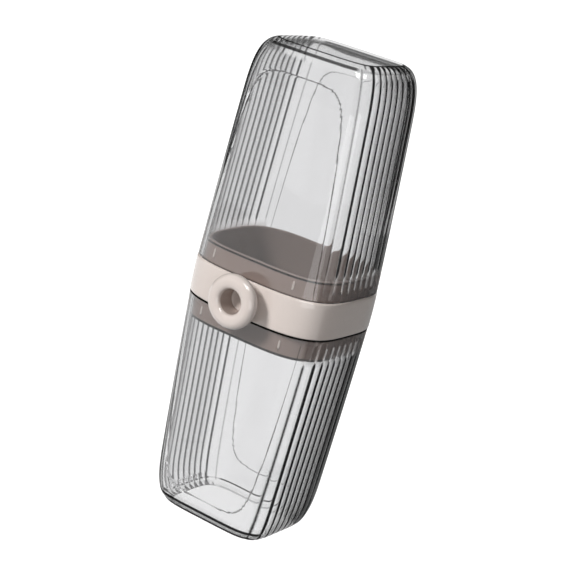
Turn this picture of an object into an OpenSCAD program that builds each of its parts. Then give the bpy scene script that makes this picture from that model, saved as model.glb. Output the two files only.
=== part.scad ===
// Toothbrush travel cup case: two clear ribbed cups joined by a collar with a ring knob.
// Millimetres. The case stands on the lower cup's base: the origin is the base's centre, +Z is up,
// the smooth front face with the knob looks along -Y and the ribbed narrow sides look along X.

/* [Case] */
// Outside width at the cups' rims, across the ribbed sides
rim_width = 69.3; // [60:0.5:90]
// Outside depth at the cups' rims, front to back
rim_depth = 60.7; // [52:0.5:80]
// Outside width that the taper reaches at a cup's base, before its edge is rounded
base_width = 58.7; // [50:0.5:80]
// Outside depth that the taper reaches at a cup's base, before its edge is rounded
base_depth = 49.4; // [42:0.5:70]
// Height of the lower cup
lower_cup_h = 95; // [60:1:160]
// Height of the upper cup
upper_cup_h = 94.1; // [60:1:160]

/* [Cup walls] */
// Thickness of the cups' side walls
cup_wall = 1.75; // [1.2:0.05:2.5]
// Thickness of the cups' flat ends
cup_floor = 2.9; // [2:0.1:5]
// How far the end's rounded edge reaches in from the side wall
end_round_in = 10.3; // [6:0.1:14]
// How far the end's rounded edge reaches along the side wall
end_round_up = 27; // [14:0.5:36]

/* [Ribs] */
// Width of each groove between two flutes
groove_w = 1; // [0.6:0.05:1.6]
// Depth of each groove
groove_d = 0.42; // [0.2:0.02:0.8]
// How far a flute's face falls from its middle to the grooves beside it
flute_crown = 0.2; // [0:0.02:0.3]
// Plain strip left under each rim
plain_rim = 3.2; // [1:0.1:10]

/* [Collar] */
// Height of the outer band
band_h = 15.6; // [13:0.1:30]
// How far the band's face stands proud of the cups' rims
band_proud = 0.3; // [0:0.05:1]
// Edge rounding of the band, as a chamfer
band_edge = 0.5; // [0.2:0.05:1]
// Height of the tongue that holds the upper cup
tongue_up = 8.4; // [6:0.1:20]
// Depth of the tongue that enters the lower cup
tongue_down = 9.9; // [6:0.1:20]
// Wall thickness of the inner sleeve
sleeve_wall = 1.6; // [1:0.05:2.4]
// Play between a cup's wall and the tongue inside it, on each side
tongue_gap = 0.2; // [0.15:0.01:0.3]
// Shadow gap between the band and each cup's rim
seam_gap = 0.15; // [0.1:0.01:0.4]

/* [Friction pips] */
// Length of a pip, along the height of the case
pip_h = 3.6; // [2:0.1:5]
// Width of a pip
pip_w = 0.9; // [0.5:0.05:1.5]
// How far a pip stands out of the tongue
pip_proud = 0.12; // [0.05:0.01:0.14]
// Distance of each pip from the middle of its face
pip_out = 19.5; // [12:0.5:22]

/* [Ring knob] */
// Outside diameter of the knob's rolled ring
ring_d = 22.6; // [18:0.1:26]
// Diameter of the blind bore in the knob
bore_d = 10.1; // [7:0.1:10.4]
// Distance from the band's face to the middle of the rolled ring
ring_stand = 6.6; // [5:0.1:10]
// Diameter of the knob's neck, which turns in the band
neck_d = 12.4; // [12.2:0.1:13]
// Diameter of the stem that passes through the sleeve
stem_d = 6; // [4:0.1:8]
// Diameter of the retainer pressed on the stem's end
retainer_d = 11; // [9:0.1:14]
// Thickness of the retainer
retainer_t = 1.5; // [1:0.1:2.5]
// How far the knob's axis lies under the middle of the band
knob_drop = 0.5; // [0:0.1:1]
// Running clearance of the neck and the stem in their holes, on the radius
turn_gap = 0.05; // [0.02:0.01:0.1]

/* [Hidden] */

// Squareness of the outline, as a superellipse power, at a rim and at a base
rim_power = 3.5;
base_power = 5.15;
// Superellipse power of the rounded edge at a cup's end
end_power = 3.54;
// Places of the grooves on a ribbed side, from its middle to the corner, as shares of the side
groove_shares = [0, 0.18, 0.36, 0.54, 0.72, 0.9];
// Places of the plain points across a smooth face, from its middle to the corner
face_shares = [0, 0.2, 0.4, 0.58, 0.72, 0.83, 0.92, 1];
// Heights of the plain rings on a wall, as shares of the way from the rounded edge to the rim
wall_shares = [0.33, 0.66];
// Angles at which the rounded end edge has its rings, from the flat end to the side wall
outer_end_angles = [6, 15, 25, 37, 50, 64, 78, 90];
inner_end_angles = [27, 37, 50, 66, 90];
// How deep the flat end is cut into the curve of the rounded edge
end_cut = 0.15;
// Length over which the grooves run out under a rim and over the end's edge
groove_run_out = 0.8;
// Step in height between the knob's parts and what they turn against
knob_end_gap = 0.1;
// Interference of the retainer on the stem, on the radius
retainer_press = 0.02;
// Overlap of a pip with the sleeve that it grows out of
pip_root = 0.4;
// Overrun of a cut past the faces that it opens
overrun = 1;
// How far the bore's straight wall cuts into the rolled ring
bore_bite = 0.05;
// Play that lets the band be slipped over the sleeve, on each side
band_play = 0.05;
// Smoothness of the round parts
$fn = 64;

clear_color = [0.80, 0.80, 0.82, 0.45];
taupe_color = [0.68, 0.62, 0.58];
beige_color = [0.85, 0.81, 0.78];

band_z = lower_cup_h + seam_gap;
band_top = band_z + band_h;
upper_rim_z = band_top + seam_gap;
case_h = upper_rim_z + upper_cup_h;
knob_z = band_z + band_h / 2 - knob_drop;
band_face_y = -(rim_depth / 2 + band_proud);
tongue_inset = cup_wall + tongue_gap;

// Outline of the case

function mix(from, to, share) = from + (to - from) * share;

// Where the outline turns from a side to a face, as a share of both half sizes
function corner_share(power) = pow(0.5, 1 / power);

// Half width, half depth, squareness and flute spread of a cup's outside at height z over its
// base. The spread keeps the flutes parallel while the cup tapers.
function cup_section(z, h) = let (
    depth = mix(base_depth, rim_depth, z / h),
    power = mix(base_power, rim_power, z / h)
) [
    mix(base_width, rim_width, z / h) / 2,
    depth / 2,
    power,
    rim_depth * corner_share(rim_power) / (depth * corner_share(power))
];

// The same for the whole case: both cups, and the straight collar between their rims
function case_section(z) =
    z < lower_cup_h ? cup_section(z, lower_cup_h)
    : z > upper_rim_z ? cup_section(case_h - z, upper_cup_h)
    : cup_section(lower_cup_h, lower_cup_h);

function inset(section, amount) = [
    section[0] - amount, section[1] - amount, section[2], section[3]
];

// Points on a ribbed side and on a smooth face, at a share of the way from its middle to the
// corner
function along(section, share) = share * corner_share(section[2]);
function bulge(section, share) = pow(
    1 - pow(abs(along(section, share)), section[2]), 1 / section[2]
);
function side_point(section, share) = [
    section[0] * bulge(section, share), section[1] * along(section, share)
];
function face_point(section, share) = [
    section[0] * along(section, share), section[1] * bulge(section, share)
];

// Point at a place on the outline: -1 to 1 across the +X side, 1 to 3 across the back face, and
// half a turn adds 4
function place_point(section, place) =
    place < -1 ? -place_point(section, place + 4)
    : place > 3 ? -place_point(section, place - 4)
    : place <= 1 ? side_point(section, place)
    : face_point(section, 2 - place);

// Places spread from the middle of a side, and drawn together towards the middle of a face
function side_place(section, share) = share * section[3];
function face_place(section, share) = 2 - share * (2 - section[3]);

// Direction that points out of the outline at one of its points
function outward(section, p) = let (
    nx = sign(p[0]) * pow(abs(p[0]) / section[0], section[2] - 1) / section[0],
    ny = sign(p[1]) * pow(abs(p[1]) / section[1], section[2] - 1) / section[1]
) [nx, ny] / norm([nx, ny]);

function reversed(list) = [for (i = [len(list) - 1 : -1 : 0]) list[i]];
function both_ways(shares) = concat(
    [for (i = [len(shares) - 1 : -1 : 1]) -shares[i]], shares
);
function half_turned(points) = [for (p = points) -p];

// Three points across one groove: its two shoulders and its bottom
function groove_points(section, share, depth) = let (
    half = groove_w / 2 / along(section, section[1]),
    middle = side_place(section, share),
    places = [middle - half, middle, middle + half],
    crown = depth * flute_crown / groove_d,
    depths = [crown, depth, crown]
) [
    for (i = [0 : 2]) let (p = place_point(section, places[i]))
        p - depths[i] * outward(section, p)
];

// The ribbed +X side from front to back: each groove, and a point on each flute between
function side_points(section, depth) = let (
    shares = both_ways(groove_shares)
) [
    for (i = [0 : len(shares) - 1]) each concat(
        i == 0 ? [] : [
            place_point(section, side_place(section, (shares[i - 1] + shares[i]) / 2))
        ],
        groove_points(section, shares[i], depth)
    )
];

// Half of an outline: the ribbed side, then the smooth back face
function half_outline(section, depth) = concat(
    side_points(section, depth),
    [
        for (s = reversed(both_ways(face_shares)))
            place_point(section, face_place(section, s))
    ]
);
function outline(section, depth = 0) = let (
    half = half_outline(section, depth)
) concat(half, half_turned(half));

function ring(points, z) = [for (p = points) [p[0], p[1], z]];

// Skin over rings that all have the same number of points

function strip(count, k, next) = [
    for (i = [0 : count - 1]) let (j = (i + 1) % count)
        each [
            [k * count + i, next * count + i, k * count + j],
            [k * count + j, next * count + i, next * count + j]
        ]
];

// Closed skin with a flat end on its first and on its last ring
module capped_skin(rings) {
    count = len(rings[0]);
    polyhedron(
        points = [for (r = rings) each r],
        faces = concat(
            [for (k = [0 : len(rings) - 2]) each strip(count, k, k + 1)],
            [[for (i = [0 : count - 1]) i]],
            [[for (i = [count - 1 : -1 : 0]) (len(rings) - 1) * count + i]]
        )
    );
}

// Closed skin round a hole: the last ring joins the first
module looped_skin(rings) {
    count = len(rings[0]);
    polyhedron(
        points = [for (r = rings) each r],
        faces = [for (k = [0 : len(rings) - 1]) each strip(count, k, (k + 1) % len(rings))]
    );
}

// Cups

// Height and inset of the rounded end edge at an angle, from the flat end to the side wall
function end_z(up, angle) = up * (1 - pow(cos(angle), 2 / end_power));
function end_inset(across, angle) = across * (1 - pow(sin(angle), 2 / end_power));

// Groove depth at height z: it runs out under the rim and over the end's edge
function groove_depth(z, h) = groove_d * max(0, min(
    1,
    (h - plain_rim - z) / groove_run_out,
    z / groove_run_out
));

function outer_ring(z, edge, h) = ring(
    outline(inset(cup_section(z, h), edge), groove_depth(z, h)), z
);
function inner_ring(z, edge, h) = ring(
    outline(inset(cup_section(z, h), cup_wall + edge)), z
);

// One cup, standing on its end, with its rim at height h
module cup(h) {
    round_in = end_round_in - cup_wall;
    round_up = end_round_up - cup_wall;
    heights = [for (s = wall_shares) mix(end_round_up, h - plain_rim, s)];
    outside = concat(
        [outer_ring(-end_cut, end_round_in, h)],
        [for (a = outer_end_angles)
            outer_ring(end_z(end_round_up, a) - end_cut, end_inset(end_round_in, a), h)],
        [for (z = heights) outer_ring(z, 0, h)],
        [
            outer_ring(h - plain_rim - groove_run_out, 0, h),
            outer_ring(h - plain_rim, 0, h),
            outer_ring(h, 0, h)
        ]
    );
    inside = concat(
        [inner_ring(h, 0, h)],
        [for (z = reversed(heights)) inner_ring(z, 0, h)],
        [for (a = reversed(inner_end_angles))
            inner_ring(cup_wall + end_z(round_up, a), end_inset(round_in, a), h)]
    );
    floor_angle = acos(pow(1 - (cup_floor - cup_wall) / round_up, end_power / 2));
    floor_ring = [inner_ring(cup_floor, end_inset(round_in, floor_angle), h)];
    difference() {
        capped_skin(concat(outside, inside, floor_ring));
        translate([0, 0, -overrun / 2]) cube([base_width, base_depth, overrun], center = true);
    }
}

module lower_cup() {
    color(clear_color) cup(lower_cup_h);
}

module upper_cup() {
    color(clear_color) translate([0, 0, case_h]) mirror([0, 0, 1]) cup(upper_cup_h);
}

// Collar

function sleeve_ring(z, deeper) = ring(
    outline(inset(case_section(z), tongue_inset + deeper)), z
);

// Round hole through the front of the collar, for the knob
module front_hole(r) {
    translate([0, band_face_y - overrun, knob_z]) rotate([-90, 0, 0])
        cylinder(r = r, h = tongue_inset + band_proud + sleeve_wall + 2 * overrun);
}

// Distance of the tongue's front from the middle of the case, at x and at height z
function tongue_front(x, z) = let (
    section = inset(case_section(z), tongue_inset)
) face_point(section, x / along(section, section[0]))[1];

// Rounded pip on the tongue's front, at x and at height z, which leans as the tongue tapers
module pip(x, z) {
    front = tongue_front(x, z);
    n = outward(inset(case_section(z), tongue_inset), [x, front]);
    lean = atan2(tongue_front(x, z + pip_h / 2) - tongue_front(x, z - pip_h / 2), pip_h);
    straight = (pip_h - pip_w) / 2;
    translate([x, -front, z]) rotate([90, 0, atan2(n[0], n[1])]) rotate([lean, 0, 0])
        translate([0, 0, -pip_root]) linear_extrude(pip_root + pip_proud) {
            square([pip_w, 2 * straight], center = true);
            for (y = [-straight, straight]) translate([0, y]) circle(d = pip_w);
        }
}

module inner_sleeve() {
    bottom = lower_cup_h - tongue_down;
    top = upper_rim_z + tongue_up;
    heights = [bottom, lower_cup_h, upper_rim_z, top];
    color(taupe_color) difference() {
        union() {
            looped_skin(concat(
                [for (z = heights) sleeve_ring(z, 0)],
                [for (z = reversed(heights)) sleeve_ring(z, sleeve_wall)]
            ));
            for (turn = [0, 180], x = [-pip_out, pip_out])
                rotate([0, 0, turn]) {
                    pip(x, lower_cup_h - tongue_down / 2);
                    pip(x, upper_rim_z + tongue_up / 2);
                }
        }
        front_hole(stem_d / 2 + turn_gap);
    }
}

module band() {
    face = inset(case_section(lower_cup_h), -band_proud);
    back = inset(case_section(lower_cup_h), tongue_inset - band_play);
    color(beige_color) difference() {
        looped_skin([
            ring(outline(inset(face, band_edge)), band_z),
            ring(outline(face), band_z + band_edge),
            ring(outline(face), band_top - band_edge),
            ring(outline(inset(face, band_edge)), band_top),
            ring(outline(back), band_top),
            ring(outline(back), band_z)
        ]);
        front_hole(neck_d / 2 + turn_gap);
    }
}

// Knob, turned about an axis that points out of the front; zero is the band's face

knob_back = -(tongue_inset + band_proud) + knob_end_gap;
sleeve_back = -(tongue_inset + band_proud + sleeve_wall);
retainer_front = sleeve_back - knob_end_gap;
retainer_back = retainer_front - retainer_t;
roll_d = (ring_d - bore_d) / 2 + bore_bite;

module turned_knob_part() {
    translate([0, band_face_y, knob_z]) rotate([90, 0, 0]) rotate_extrude() children();
}

module ring_knob() {
    color(beige_color) turned_knob_part() difference() {
        union() {
            translate([ring_d / 2 - roll_d / 2, ring_stand]) circle(d = roll_d);
            translate([0, knob_back]) square([neck_d / 2, ring_stand - knob_back]);
            translate([0, retainer_back]) square([stem_d / 2, knob_back - retainer_back]);
        }
        square([bore_d / 2, ring_stand + roll_d]);
    }
}

module knob_retainer() {
    hole = stem_d / 2 - retainer_press;
    color(taupe_color) turned_knob_part()
        translate([hole, retainer_back]) square([retainer_d / 2 - hole, retainer_t]);
}

lower_cup();
inner_sleeve();
band();
ring_knob();
knob_retainer();
upper_cup();
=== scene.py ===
"""Dresses the toothbrush travel cup case in Blender, round the packed frame of its parts.

Metres, in the frame of the parts: the case stands on its lower cup, +Z is up, and the smooth
front with the ring knob looks along -Y. The sidebar of the 3D view holds the sizes and finishes.
"""

import math
from collections import namedtuple

import bmesh
import bpy
import numpy as np
from mathutils import Matrix, Vector


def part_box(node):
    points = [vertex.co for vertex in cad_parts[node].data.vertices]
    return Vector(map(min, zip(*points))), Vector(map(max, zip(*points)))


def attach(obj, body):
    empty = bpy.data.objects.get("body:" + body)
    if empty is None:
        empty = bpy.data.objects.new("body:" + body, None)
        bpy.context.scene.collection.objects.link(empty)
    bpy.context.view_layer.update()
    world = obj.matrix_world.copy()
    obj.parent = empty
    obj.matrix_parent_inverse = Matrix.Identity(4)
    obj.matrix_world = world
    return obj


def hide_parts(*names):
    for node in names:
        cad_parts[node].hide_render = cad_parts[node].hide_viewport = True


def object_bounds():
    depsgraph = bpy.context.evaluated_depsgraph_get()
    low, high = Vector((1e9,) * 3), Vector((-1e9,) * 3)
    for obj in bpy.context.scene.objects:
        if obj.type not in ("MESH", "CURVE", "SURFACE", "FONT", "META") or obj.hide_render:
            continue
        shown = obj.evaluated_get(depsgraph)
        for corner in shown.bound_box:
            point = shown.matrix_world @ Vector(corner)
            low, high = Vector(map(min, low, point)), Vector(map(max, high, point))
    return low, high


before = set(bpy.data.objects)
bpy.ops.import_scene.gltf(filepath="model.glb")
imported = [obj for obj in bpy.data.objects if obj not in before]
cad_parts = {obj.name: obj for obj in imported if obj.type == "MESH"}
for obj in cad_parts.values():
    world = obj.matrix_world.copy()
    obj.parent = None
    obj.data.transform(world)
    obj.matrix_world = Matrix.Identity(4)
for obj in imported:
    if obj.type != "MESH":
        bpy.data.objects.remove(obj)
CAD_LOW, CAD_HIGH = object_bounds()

bl_info = {
    "name": "Toothbrush travel cup case",
    "version": (1, 0, 0),
    "blender": (4, 5, 0),
    "location": "3D View > Sidebar > Cup case",
    "description": "Clear ribbed cups, their collar and ring knob, and a plain pale studio",
    "category": "Add Mesh",
}

MM = 0.001
LOWER_LOW, LOWER_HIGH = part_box("lower_cup")
UPPER_LOW, UPPER_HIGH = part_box("upper_cup")
SLEEVE_LOW, SLEEVE_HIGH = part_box("inner_sleeve")
BAND_LOW, BAND_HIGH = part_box("band")
KNOB_LOW, KNOB_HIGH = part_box("ring_knob")
RETAINER_LOW, RETAINER_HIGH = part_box("knob_retainer")


# Properties

def length(name, text, default):
    """A size in metres that the sidebar shows as a length."""
    return bpy.props.FloatProperty(
        name=name, description=text, default=default, min=0, unit="LENGTH", precision=5
    )


def angle(name, text, degrees):
    """An angle that the sidebar shows in degrees."""
    return bpy.props.FloatProperty(
        name=name, description=text, default=math.radians(degrees), subtype="ANGLE"
    )


def number(name, text, default):
    """A plain number, such as a share or a strength."""
    return bpy.props.FloatProperty(name=name, description=text, default=default, precision=3)


def colour(name, text, default):
    """A linear colour."""
    return bpy.props.FloatVectorProperty(
        name=name, description=text, default=default, subtype="COLOR", size=3, min=0, max=1
    )


class CupSizes(bpy.types.PropertyGroup):
    """Sizes of the two clear cups"""
    base_width: length("Base width", "Width that the taper reaches at a base", 58.7 * MM)
    base_depth: length("Base depth", "Depth that the taper reaches at a base", 49.4 * MM)
    rim_width: length("Rim width", "Width at the rims", LOWER_HIGH.x - LOWER_LOW.x)
    rim_depth: length("Rim depth", "Depth at the rims", LOWER_HIGH.y - LOWER_LOW.y)
    wall: length("Wall", "Thickness of the side walls", 1.75 * MM)
    floor: length("Floor", "Thickness of the flat ends", 2.9 * MM)
    round_in: length("Round in", "Reach of the rounded end edge over the end", 10.3 * MM)
    round_up: length("Round up", "Reach of the rounded end edge along the wall", 27 * MM)
    end_cut: length("End cut", "Depth at which the flat end cuts the edge's curve", 0.15 * MM)
    rim_power: number("Rim squareness", "Superellipse power of the outline at a rim", 3.5)
    base_power: number("Base squareness", "Superellipse power of the outline at a base", 5.15)
    end_power: number("Edge squareness", "Superellipse power of the rounded end edge", 3.54)
    parallel: number("Parallel flutes", "0 narrows the flutes with the taper, 1 doesn't", 1)
    rim_round: length("Rim rounding", "Rounding of the rim's two edges", 0.35 * MM)
    floor_round: length("Floor rounding", "Rounding of the inside floor's edge", 0.25 * MM)
    groove: length("Groove", "Depth of the grooves between two flutes", 0.42 * MM)
    crown_share: number("Crown share", "Share of the groove's depth that the crown takes", 0.6)
    crown_power: number("Crown power", "Power of the flute's crown; high is a flatter flute", 2.2)
    groove_power: number("Groove power", "Power of the groove's flank; high is a narrower one", 9)
    plain_rim: length("Plain rim", "Strip under the rim without flutes", 3.2 * MM)
    run_out: length("Run-out", "Length over which the grooves run out", 0.8 * MM)
    panel: length("Panel line", "Distance of the panel's line from the middle", 24.9 * MM)
    panel_w: length("Panel line width", "Half width of the panel's line, front to back", 0.22 * MM)
    panel_d: length("Panel line depth", "Depth of the panel's line", 0.11 * MM)
    tongue_clear: length("Tongue clear", "How far past a tongue the grooves stay clear", 0.3 * MM)
    # Painted shade: the dark lines along the rims and round the flat ends, and the dark dashes at
    # the grooves' ends
    low_rim_shade: number("Low rim", "How dark the lower rim's edge looks", 1)
    top_rim_shade: number("Top rim", "How dark the upper rim's edge looks", 0.35)
    low_line: length("Low line", "Width of the dark lines round the lower flat end", 0.3 * MM)
    top_line: length("Top line", "Width of the dark lines round the upper flat end", 1.15 * MM)
    low_hatch: length("Low hatch", "Height of the dashes at the lower grooves' ends", 1.6 * MM)
    top_hatch: length("Top hatch", "Height of the dashes at the upper grooves' ends", 3.6 * MM)
    foot_line: length("Foot line", "Height of the dark line along the front's foot", 2.6 * MM)
    shoulder_low: length("Second line's foot", "Lower side of the line over it", 4.1 * MM)
    shoulder_high: length("Second line's top", "Upper side of the line over it", 5.6 * MM)
    end_clear: length("End clear", "Height up to which the end stays clear", 3 * MM)


class CollarSizes(bpy.types.PropertyGroup):
    """Sizes of the sleeve and the band"""
    sleeve_wall: length("Sleeve wall", "Thickness of the sleeve", 1.6 * MM)
    sleeve_gap: length("Tongue gap", "Play between a cup's wall and the tongue", 0.2 * MM)
    sleeve_round: length("Sleeve rounding", "Rounding of the tongues' edges", 0.4 * MM)
    band_proud: length("Band proud", "How far the band stands proud of the rims", 0.3 * MM)
    band_round: length("Band rounding", "Rounding of the band's edges", 0.7 * MM)
    band_crown: length("Band crown", "How much the band's face falls to its edges", 0.12 * MM)
    back_edge: length("Back edge", "Chamfer of the band's hidden edges", 0.15 * MM)
    band_play: length("Band play", "Play between the band and the sleeve", 0.05 * MM)
    turn_gap: length("Turning gap", "Clearance round the knob's neck and stem", 0.05 * MM)
    # Painted shade: a dark strip beside each free edge of the sleeve
    shade_strip_width: length("Edge strip", "Width of the dark strip beside a free edge", 0.75 * MM)
    pip_length: length("Pip length", "Length of a friction pip", 3.6 * MM)
    pip_width: length("Pip width", "Width of a friction pip", 0.9 * MM)
    pip_proud: length("Pip height", "How far a pip stands out", 0.12 * MM)
    pip_out: length("Pip place", "Distance of a pip from the middle of its face", 19.5 * MM)


class KnobSizes(bpy.types.PropertyGroup):
    """Sizes of the ring knob"""
    bore: length("Bore", "Diameter of the blind bore", 10.1 * MM)
    stand: length("Stand", "Distance of the roll's middle from the band", 6.6 * MM)
    lip_power: number("Lip squareness", "Power of the roll's curve toward the bore", 2.9)
    neck: length("Neck", "Diameter of the neck", 12.4 * MM)
    stem: length("Stem", "Diameter of the stem", 6 * MM)
    neck_round: length("Neck rounding", "Fillet where the neck meets the roll", 0.8 * MM)
    bore_round: length("Bore rounding", "Fillet round the bore's flat bottom", 0.5 * MM)
    edge: length("Edge", "Chamfer of the neck's and the stem's edges", 0.2 * MM)
    end_gap: length("End gap", "Gap between the neck's shoulder and the sleeve", 0.1 * MM)
    retainer_round: length("Retainer rounding", "Rounding of the retainer's edges", 0.3 * MM)


class Finishes(bpy.types.PropertyGroup):
    """Colours and finishes"""
    beige: colour("Beige", "Colour of the band and the knob", (0.69, 0.61, 0.565))
    taupe: colour("Taupe", "Colour of the inner sleeve", (0.33, 0.255, 0.225))
    beige_rough: number("Beige roughness", "Roughness of the band and the knob", 0.28)
    taupe_rough: number("Taupe roughness", "Roughness of the inner sleeve", 0.32)
    # Painted shade on the wall of the ring's bore
    bore_shade: colour("Bore shade", "Darker tone of the bore's wall", (0.16, 0.09, 0.06))
    lower_smoke: colour("Lower smoke", "Tint of the lower cup's surfaces", (0.81, 0.81, 0.815))
    upper_smoke: colour("Upper smoke", "Tint of the upper cup's surfaces", (0.79, 0.79, 0.795))
    # Painted shade on the clear plastic: along edges where it turns away, on the ribbed sides, in
    # the grooves and along its edge lines
    edge_and_rib_shade: colour("Smoke edge", "Tint where the plastic turns away", (0.008, 0.008, 0.008))
    groove_and_line_shade: colour("Smoke line", "Tint in the grooves and lines", (0.001, 0.001, 0.001))
    density: number("Density", "Absorption inside the clear plastic, per metre", 22)


class Studio(bpy.types.PropertyGroup):
    """Camera and light"""
    azimuth: angle("Azimuth", "Camera's angle round the case", 30.107)
    elevation: angle("Elevation", "Camera's angle over the horizon", 16.319)
    roll: angle("Roll", "Camera's roll, which leans the case to the right", 13.660)
    distance: length("Distance", "Camera's distance from the case's middle", 688.744 * MM)
    target: length("Target height", "Height that the camera looks at", 102.5 * MM)
    lens: number("Lens", "Focal length in millimetres, on a 36 mm sensor", 103.49)
    shift_x: number("Shift X", "Shift of the picture to the side", 0.0076)
    shift_y: number("Shift Y", "Shift of the picture up", 0.0041)
    fill: number("Fill", "Level of the plain light from all round", 0.07)
    key: number("Key", "Strength of the main soft light", 2.7)
    front: number("Front", "Strength of the wide light from the right front", 0.9)
    softbox: number("Softbox", "Power of the box that draws the knob's highlights, in watts", 8)
    panel: number("Panel", "Power of the panel that the upper cup's corner reflects", 0.45)
    right_card: angle("Right card", "Angle of the dark card behind the case on the right", 142)
    left_card: angle("Left card", "Angle of the dark card behind the case on the left", 256)
    floor_card: number("Floor card", "Shade of the card on the floor that gloss reflects", 0.4)
    floor_shade: number("Floor shade", "How much light the floor gives back", 0.4)
    floor_glow: number("Floor glow", "What makes the lit floor show white", 0.96)


GROUPS = {
    "case_cups": CupSizes,
    "case_collar": CollarSizes,
    "case_knob": KnobSizes,
    "case_finishes": Finishes,
    "case_studio": Studio,
}


# Outline of the case

# Places of the grooves from the middle of a ribbed side, and how dark the painted shade in each
# one looks
GROOVE_SHARES = [0, 0.18, 0.36, 0.54, 0.72, 0.9]
GROOVE_SHADES = [0.9, 0.9, 0.92, 0.95, 1.0, 0.62]

# How far from that middle the painted dark dashes at the grooves go, over which share of a flute's
# half width they darken, and where the plain face begins
FLUTED_TO = 0.86
HATCH_FADE = 0.25
PLAIN_FROM = 0.92
PLAIN_FADE = 0.06

# Painted shade of the flutes: at the front, where and over what it rises toward the back, and at a
# flute's lighter edge
RIB_FRONT = 0.15
RIB_FROM = -0.7
RIB_RISE = 1.1
RIB_LIGHT = 0.55
RIB_POWER = 1.2
RIB_FADE = 0.08

# Numbers of steps along each stretch
FLUTE_STEPS = 12
FACE_STEPS = 60
END_STEPS = 44
WALL_STEPS = 16
INSIDE_STEPS = 7
RUN_OUT_STEPS = 4
ROUND_STEPS = 4


def mix(low, high, share):
    """The value at a share of the way from low to high."""
    return low + (high - low) * share


def smooth_step(value):
    """0 below 0, 1 above 1 and smooth between."""
    value = np.clip(value, 0, 1)
    return value * value * (3 - 2 * value)


def side_reach(depth, power):
    """Distance from a ribbed side's middle to the corner where the face begins."""
    return depth / 2 * 0.5 ** (1 / power)


def cup_section(cups, z, height):
    """Half width, half depth, squareness and flute spread of a cup at height z over its end."""
    share = z / height
    depth = mix(cups.base_depth, cups.rim_depth, share)
    power = mix(cups.base_power, cups.rim_power, share)
    reach = side_reach(cups.rim_depth, cups.rim_power)
    spread = mix(1, reach / side_reach(depth, power), cups.parallel)
    return mix(cups.base_width, cups.rim_width, share) / 2, depth / 2, power, spread


def lower_height():
    """Height of the lower cup."""
    return LOWER_HIGH.z - LOWER_LOW.z


def upper_height():
    """Height of the upper cup."""
    return UPPER_HIGH.z - UPPER_LOW.z


def case_section(cups, z):
    """The same for the whole case: both cups, and the straight collar between their rims."""
    if z < LOWER_HIGH.z:
        return cup_section(cups, z - LOWER_LOW.z, lower_height())
    if z > UPPER_LOW.z:
        return cup_section(cups, UPPER_HIGH.z - z, upper_height())
    return cup_section(cups, lower_height(), lower_height())


def flute_places():
    """Places across a ribbed side, -1 to 1, with how far each lies from its flute's middle."""
    middles = [-s for s in GROOVE_SHARES[:0:-1]] + GROOVE_SHARES
    edge = 2 - GROOVE_SHARES[-1]
    walls = [-edge] + middles + [edge]
    steps = np.sin(np.linspace(-1, 1, FLUTE_STEPS + 1) * math.pi / 2)
    places, across = [], []
    for low, high in zip(walls[:-1], walls[1:]):
        for t in steps[:-1]:
            place = mix(low, high, (t + 1) / 2)
            if -1 < place < 1:
                places.append(place)
                across.append(t)
    return np.array(places), np.array(across)


def groove_shades(places):
    """How dark the painted shade in the groove nearest to each place looks, as a share of the
    darkest.
    """
    shares = np.array(GROOVE_SHARES)
    nearest = np.abs(np.abs(places)[:, None] - shares[None, :]).argmin(axis=1)
    return np.array(GROOVE_SHADES)[nearest]


def rib_shades(places, across):
    """Painted shade on the flutes seen from outside: more toward the back, none on a face."""
    tone = mix(RIB_FRONT, 1, smooth_step((places - RIB_FROM) / RIB_RISE))
    tone *= mix(RIB_LIGHT, 1, ((1 + across) / 2) ** RIB_POWER)
    return tone * smooth_step((1 - np.abs(places)) / RIB_FADE)


def plain_side(places):
    """1 where the wall has no flutes, 0 on the fluted sides."""
    return smooth_step((np.abs(places) - PLAIN_FROM) / PLAIN_FADE)


class Stations:
    """The places round an outline at which every ring has its points.

    A place runs from -1 to 1 across the +X side and from 1 to 3 across the back face; half a
    turn adds 4.
    """

    def __init__(self):
        side, across = flute_places()
        face = np.linspace(1, 3, FACE_STEPS + 1)
        self.places = np.concatenate([side, face])
        plain = np.zeros(len(face))
        half = np.concatenate([np.abs(across), plain])
        # Painted shade in the grooves, and on the flutes seen from the front and from the back
        tones = np.concatenate([groove_shades(side), plain])
        front = np.concatenate([rib_shades(side, across), plain])
        back = np.concatenate([rib_shades(-side, -across), plain])
        fluted = np.concatenate([np.abs(side) < FLUTED_TO, plain])
        self.across = np.concatenate([half, half])
        self.tones = np.concatenate([tones, tones])
        self.ribs = np.concatenate([front, back])
        self.fluted = np.concatenate([fluted, fluted])
        self.smooth = np.concatenate([plain_side(side), plain + 1] * 2)

    def hatch(self, start):
        """Painted dark dashes at the grooves; each begins at a share of the way from a flute's
        middle.
        """
        return smooth_step((self.across - start) / HATCH_FADE) * self.fluted

    def ring(self, section, inset, z):
        """One ring at height z, drawn in by inset, anticlockwise from the +X side's front."""
        a, b, power, spread = section
        a, b = a - inset, b - inset
        places = self.places
        places = np.where(places <= 1, places * spread, 2 + (places - 2) * (2 - spread))
        turn = np.where((places < -1) | (places > 3), -1, 1)
        places = places + np.where(places < -1, 4, 0) - np.where(places > 3, 4, 0)
        on_side = places <= 1
        flat = np.where(on_side, places, 2 - places) * 0.5 ** (1 / power)
        bulge = (1 - np.abs(flat) ** power) ** (1 / power)
        x = turn * a * np.where(on_side, bulge, flat)
        y = turn * b * np.where(on_side, flat, bulge)
        half = np.stack([x, y], axis=1)
        points = np.concatenate([half, -half])
        return np.column_stack([points, np.full(len(points), z)])


# Meshes

# The groove, line, rib and rim masks carry painted shade; the plate mask lets the flat ends show
# straight through
CUP_MASKS = ("groove", "line", "rib", "plate", "rim")
CupLines = namedtuple("CupLines", "rim_tone end_width hatch front")

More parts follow.
